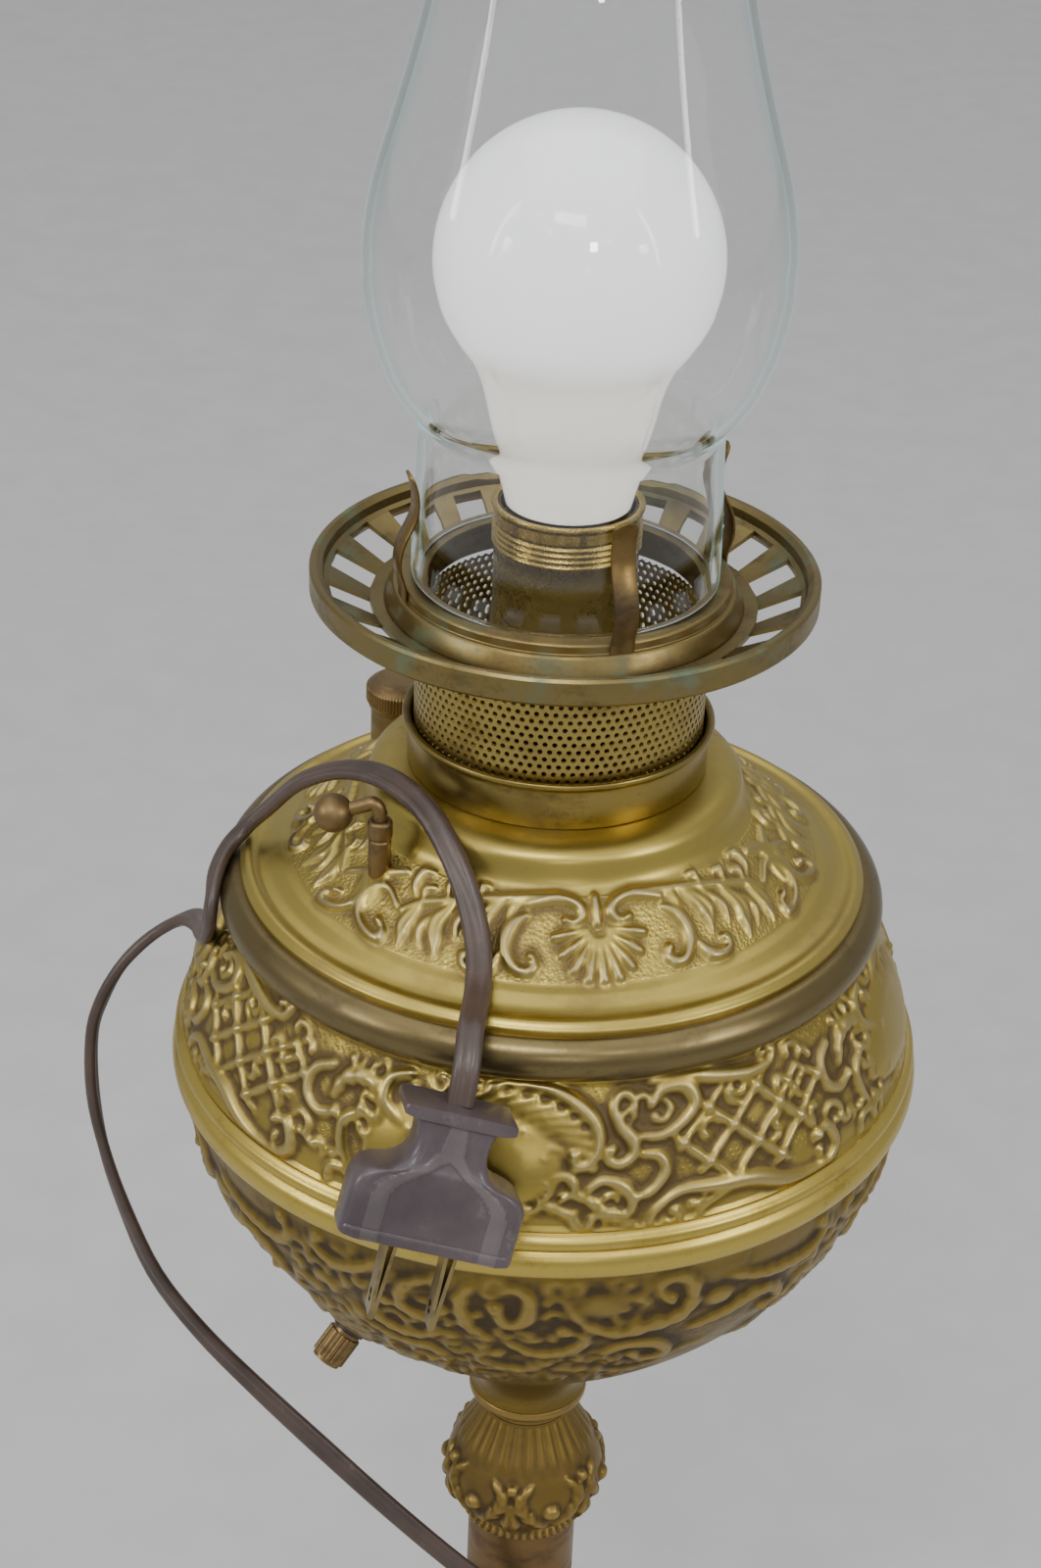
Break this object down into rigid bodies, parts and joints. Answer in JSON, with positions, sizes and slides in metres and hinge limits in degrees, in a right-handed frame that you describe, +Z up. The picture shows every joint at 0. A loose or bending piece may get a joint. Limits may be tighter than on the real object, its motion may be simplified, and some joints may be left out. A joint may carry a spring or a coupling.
{
  "type": "banquet lamp",
  "caption": "Embossed brass centre-draught oil lamp with a bulb in its burner, a tall glass chimney on a pierced gallery, an urn body on a column and foot, and a flat flex with a plug.",
  "frame": {"origin": "centre of the foot's underside, on the lamp's axis", "axes": "+Z up along the lamp axis, -Y towards the front, where the plug hangs"},
  "size_m": [0.1966, 0.266, 0.727],
  "materials": {
    "foot_brass": "polished cast brass gone warm with patina",
    "column_brass": "dull brass tube",
    "urn_brass": "embossed spun brass, dark in the hollows and rubbed bright on the relief",
    "bead_bronze": "brown bronze patina",
    "font_brass": "embossed spun brass",
    "burner_brass": "spun and pierced brass",
    "fitting_brass": "small turned brass",
    "plain_steel": "zinc plated steel",
    "clear_glass": "clear blown glass",
    "frosted_glass": "inside frosted bulb glass",
    "screw_brass": "rolled thin brass",
    "black_glass": "black vitrite",
    "liner_card": "insulating fibre paper",
    "porcelain": "ceramic insulator",
    "black_plastic": "moulded dark plastic",
    "flex_vinyl": "brown vinyl insulation",
    "plug_vinyl": "dark purple brown moulded vinyl",
    "blade_brass": "folded bare brass strip",
    "cork": "cork gasket",
    "tie_wire": "paper covered tie"
  },
  "bodies": {
    "lamp": {"base_foot": "foot_brass", "column_collar": "foot_brass", "column_tube": "column_brass", "knop": "foot_brass", "neck_ring": "foot_brass", "tie_pipe": "plain_steel", "tie_nuts": "plain_steel", "tie_washers": "plain_steel", "urn_bowl": "urn_brass", "urn_band": "urn_brass", "urn_shell": "urn_brass", "urn_bead": "bead_bronze", "font_top": "font_brass", "font_bottom": "font_brass", "draught_tube": "font_brass", "wick_tube": "font_brass", "raiser_guide": "fitting_brass", "filler_neck": "font_brass", "burner_cup": "burner_brass", "burner_basket": "burner_brass", "gallery_ring": "burner_brass", "chimney_seat": "burner_brass", "prong_1": "burner_brass", "prong_2": "burner_brass", "prong_3": "burner_brass", "prong_4": "burner_brass", "socket_shell": "burner_brass", "socket_liner": "liner_card", "socket_screw_shell": "screw_brass", "socket_insulator": "porcelain", "socket_contact": "screw_brass", "socket_cap": "burner_brass", "adapter_plate": "burner_brass", "nipple": "plain_steel", "nipple_nuts": "plain_steel", "switch_body": "black_plastic", "switch_nut": "fitting_brass", "inner_lead": "flex_vinyl", "strain_relief": "flex_vinyl", "flex": "flex_vinyl", "flex_tail": "flex_vinyl", "flex_coil": "flex_vinyl", "coil_tie": "tie_wire", "plug_body": "plug_vinyl", "plug_blade_left": "blade_brass", "plug_blade_right": "blade_brass"},
    "chimney": {"chimney": "clear_glass"},
    "bulb_lifter": {"bulb_insulator": "black_glass", "bulb_contact": "plain_steel"},
    "bulb": {"bulb_glass": "frosted_glass", "bulb_screw_shell": "screw_brass"},
    "wick_lift": {"wick_carrier": "burner_brass"},
    "raiser": {"raiser_rod": "fitting_brass", "raiser_ball": "fitting_brass"},
    "cap_lift": {"filler_gasket": "cork"},
    "cap": {"filler_cap": "fitting_brass"},
    "switch": {"switch_shaft": "fitting_brass", "switch_knob": "black_plastic"}
  },
  "joints": [
    {"name": "chimney_lift", "type": "slide", "parent": "lamp", "child": "chimney", "axis": [0, 0, 1], "range_m": [0, 0.13]},
    {"name": "bulb_rise", "type": "slide", "parent": "lamp", "child": "bulb_lifter", "axis": [0, 0, 1], "range_m": [0, 0.0145]},
    {"name": "bulb_turn", "type": "hinge", "parent": "bulb_lifter", "child": "bulb", "pos_m": [0, 0, 0.4676], "axis": [0, 0, 1], "range_deg": [0, 1440]},
    {"name": "wick_slide", "type": "slide", "parent": "lamp", "child": "wick_lift", "axis": [0, 0, 1], "range_m": [0, 0.018]},
    {"name": "raiser_swing", "type": "hinge", "parent": "wick_lift", "child": "raiser", "pos_m": [-0.03713, -0.03228, 0.4276], "axis": [0, 0, 1], "range_deg": [-40, 40]},
    {"name": "cap_rise", "type": "slide", "parent": "lamp", "child": "cap_lift", "axis": [0, 0, 1], "range_m": [0, 0.004]},
    {"name": "cap_turn", "type": "hinge", "parent": "cap_lift", "child": "cap", "pos_m": [-0.03682, 0.03812, 0.4216], "axis": [0, 0, 1], "range_deg": [0, 905]},
    {"name": "switch_turn", "type": "hinge", "parent": "lamp", "child": "switch", "pos_m": [-0.04149, -0.02798, 0.28652], "axis": [-0.5571, -0.3757, -0.7406], "continuous": true}
  ],
  "couplings": [
    {"joint": "bulb_turn", "follows": "bulb_rise", "rad_per_m": 1730.9},
    {"joint": "cap_turn", "follows": "cap_rise", "rad_per_m": 3927}
  ]
}
